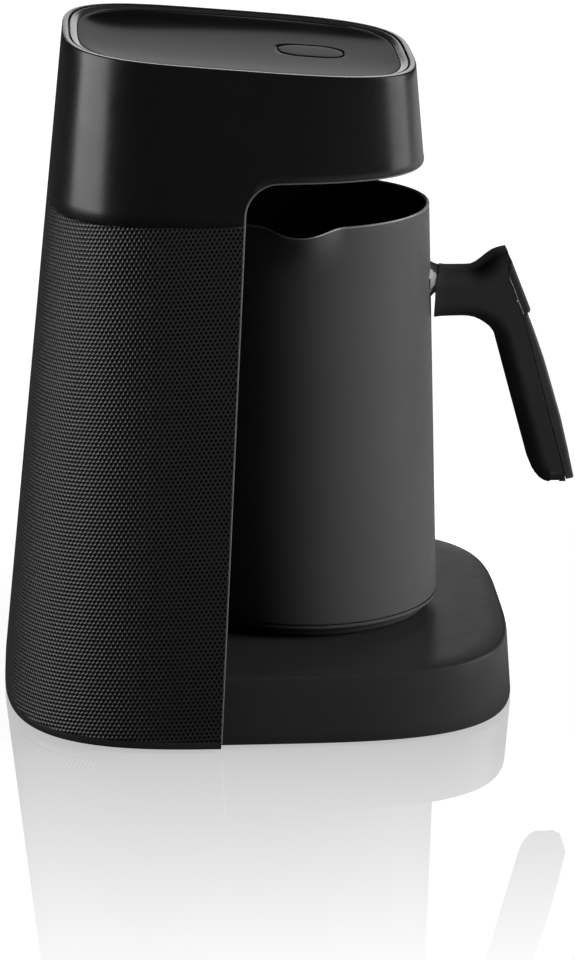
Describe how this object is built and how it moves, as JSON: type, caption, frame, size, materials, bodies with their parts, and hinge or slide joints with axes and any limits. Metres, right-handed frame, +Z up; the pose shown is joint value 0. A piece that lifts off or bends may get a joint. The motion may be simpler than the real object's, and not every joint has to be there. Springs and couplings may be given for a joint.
{
  "type": "electric turkish coffee maker",
  "caption": "Compact electric Turkish coffee maker: tapered textured column, overhanging gloss head with start button, platform and lift-out pot with spout and handle.",
  "frame": {"origin": "centre of the platform's footprint, on the counter under the feet", "axes": "+X to the front, the way the pot slides out; +Z up; +Y to the left of someone facing the front's way"},
  "size_m": [0.1893, 0.17, 0.2165],
  "materials": {
    "base_black": "matte",
    "bay_black": "satin",
    "bezel_black": "gloss",
    "board_green": "solder mask",
    "bracket_steel": "brushed",
    "button_grey": "satin",
    "capacitor_sleeve": "shrink sleeve",
    "contact_brass": "polished",
    "coupler_plastic": "satin",
    "cover_black": "satin",
    "element_steel": "heat tinted",
    "foot_rubber": "matte",
    "frame_plastic": "matte, unpainted",
    "fuse_glass": "clear",
    "gland_rubber": "matte",
    "handle_black": "matte",
    "lead_brown": "insulated wire",
    "lead_red": "silicone wire",
    "led_white": "clear lens",
    "matte_black": "matte, fine moulded grain",
    "panel_grey": "satin",
    "pot_coating": "fine non-stick coating",
    "relay_blue": "gloss",
    "ribbon_grey": "flat cable",
    "satin_black": "satin gloss",
    "seal_silicone": "satin",
    "sink_aluminium": "milled",
    "spring_steel": "bright",
    "terminal_grey": "matte",
    "textured_black": "matte, raised woven texture",
    "thermostat_ceramic": "ceramic",
    "thumb_soft": "soft touch",
    "transformer_core": "varnished laminations",
    "window_clear": "smoked",
    "zinc_steel": "zinc plated"
  },
  "bodies": {
    "machine": {"base_shell": "matte_black", "base_plate": "base_black", "rubber_feet": "foot_rubber", "base_screws": "zinc_steel", "coupler_socket": "coupler_plastic", "coupler_contacts": "contact_brass", "coupler_seal": "seal_silicone", "column_shell": "textured_black", "head_shell": "satin_black", "bay_wall": "bay_black", "head_floor": "bay_black", "top_bezel": "bezel_black", "top_panel": "panel_grey", "head_screws": "zinc_steel", "cord_gland": "gland_rubber", "inner_frame": "frame_plastic", "power_board": "board_green", "board_screws": "zinc_steel", "transformer": "transformer_core", "relay": "relay_blue", "capacitors": "capacitor_sleeve", "heat_sink": "sink_aluminium", "terminal_block": "terminal_grey", "fuse": "fuse_glass", "triac": "coupler_plastic", "mains_leads": "lead_brown", "coupler_leads": "lead_red", "sensor_window": "window_clear", "foam_sensor": "board_green", "control_board": "board_green", "tact_switch": "coupler_plastic", "indicator_led": "led_white", "buzzer": "coupler_plastic", "button_guide": "frame_plastic", "ribbon_cable": "ribbon_grey"},
    "pot": {"pot_vessel": "pot_coating", "heat_spreader": "sink_aluminium", "heating_element": "element_steel", "thermostat": "thermostat_ceramic", "pot_base_cup": "matte_black", "pot_base_seal": "seal_silicone", "pot_base_screws": "zinc_steel", "pot_coupler": "coupler_plastic", "pot_contacts": "contact_brass", "thermal_fuse": "zinc_steel", "heater_leads": "lead_red", "handle_bracket": "bracket_steel", "handle_body": "handle_black", "thumb_rest": "thumb_soft", "handle_cover": "cover_black", "handle_screw": "zinc_steel"},
    "button": {"start_button": "button_grey", "button_spring": "spring_steel"}
  },
  "joints": [
    {"name": "pot_lift_out", "type": "slide", "parent": "machine", "child": "pot", "axis": [0.9903, 0, 0.1392], "range_m": [0, 0.13]},
    {"name": "start_button_press", "type": "slide", "parent": "machine", "child": "button", "axis": [-0.0842, 0, -0.9964], "range_m": [0, 0.0009], "stiffness_N_per_m": 1200, "springref_m": -0.0005, "deforming": ["button_spring"]}
  ]
}
